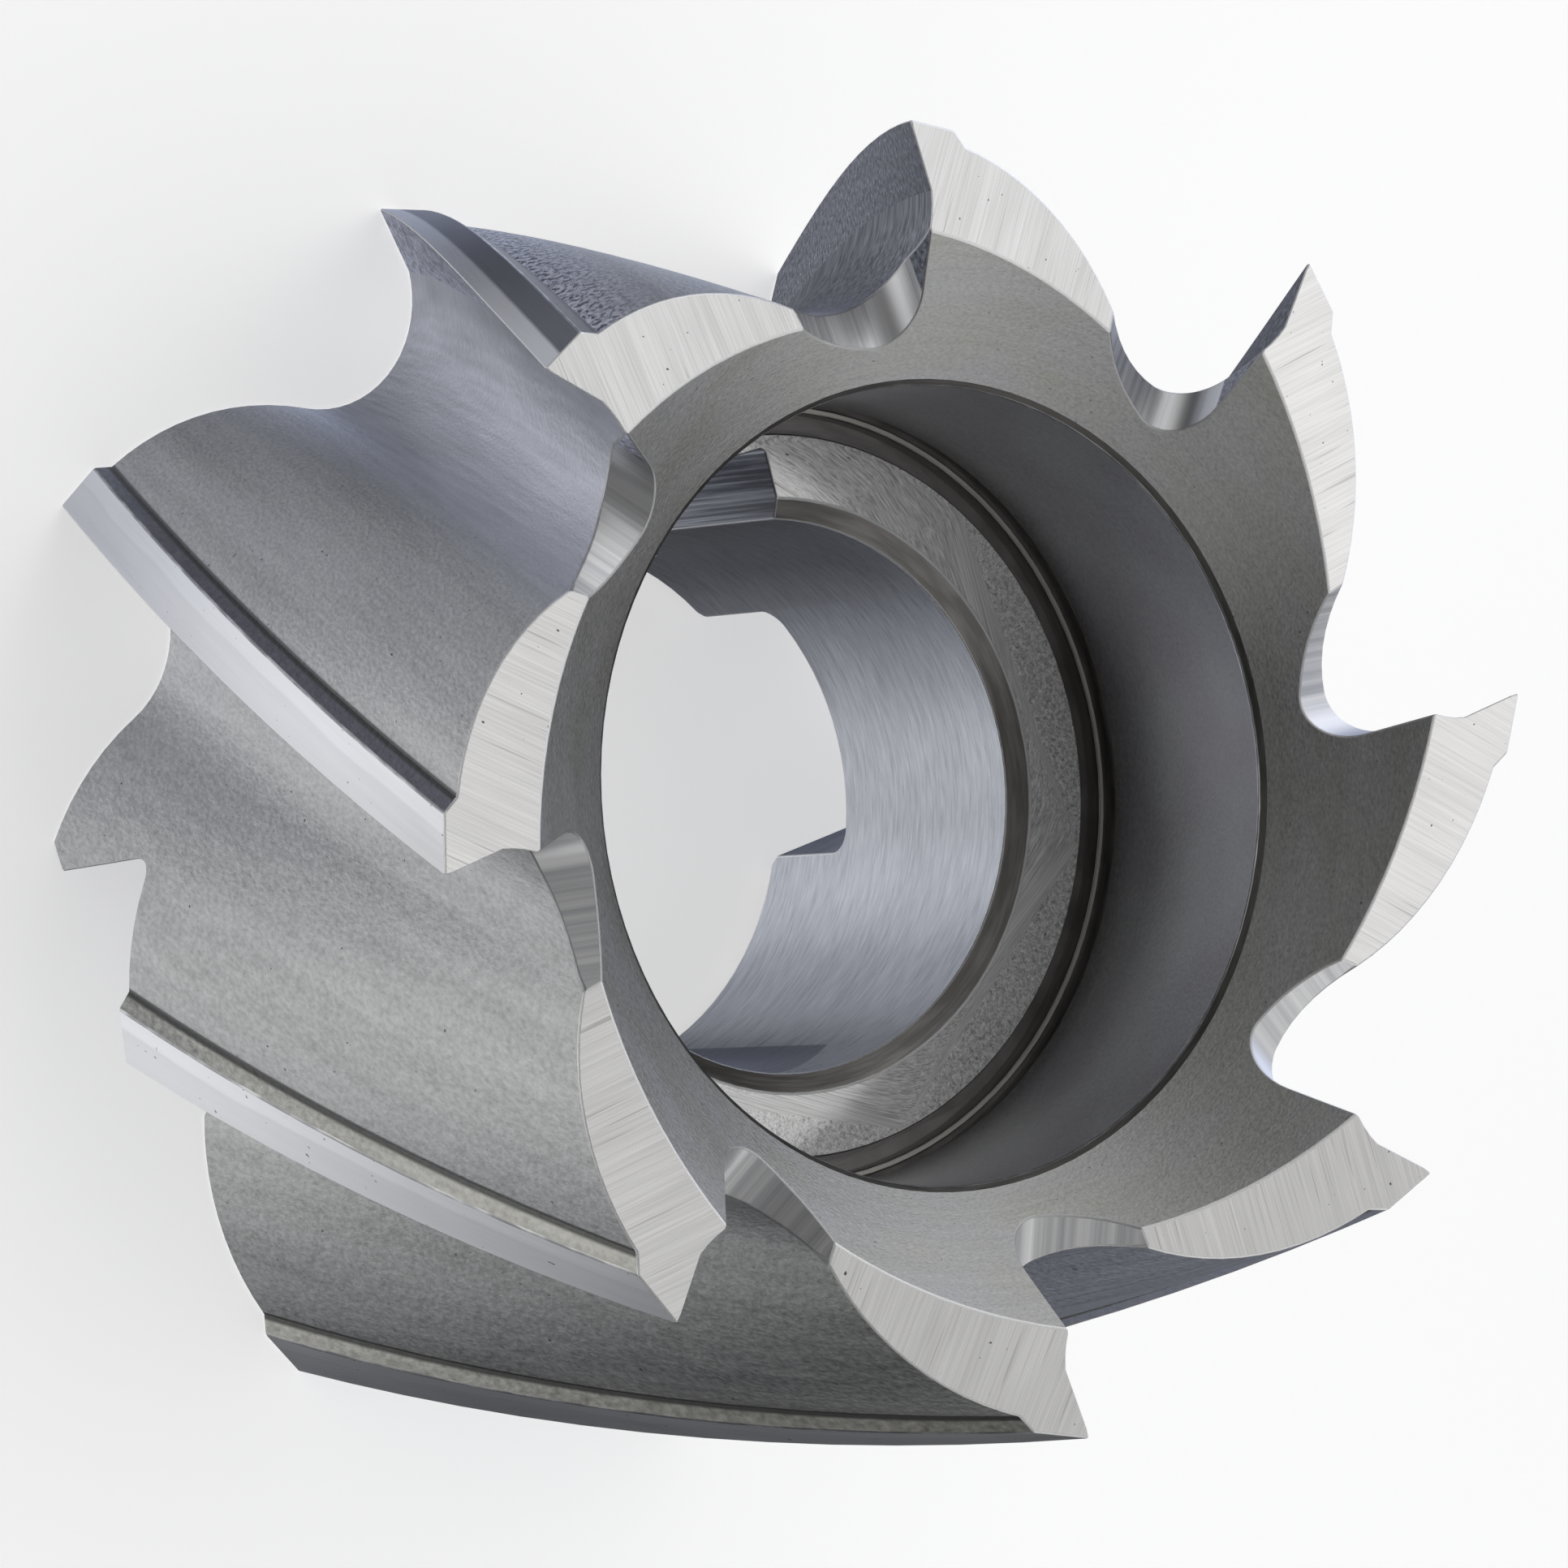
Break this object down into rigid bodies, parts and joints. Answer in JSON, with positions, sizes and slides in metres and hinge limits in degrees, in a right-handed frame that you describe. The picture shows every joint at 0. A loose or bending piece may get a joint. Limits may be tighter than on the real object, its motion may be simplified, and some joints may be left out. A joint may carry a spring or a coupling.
{
  "type": "shell end mill",
  "caption": "Hollow cylindrical milling cutter with right-hand helical teeth that cut on the side and the end, a stepped bore with a keyway, and a cross slot in the back.",
  "frame": {"origin": "centre of the flat back face, on the axis of the bore", "axes": "+Z along the bore towards the cutting end, X along the cross slot in the back face"},
  "size_m": [0.0628, 0.063, 0.04],
  "materials": {
    "tool_steel": "bright ground lands and end faces, satin milled flutes"
  },
  "bodies": {
    "root": {"shell_end_mill": "tool_steel"}
  },
  "joints": []
}
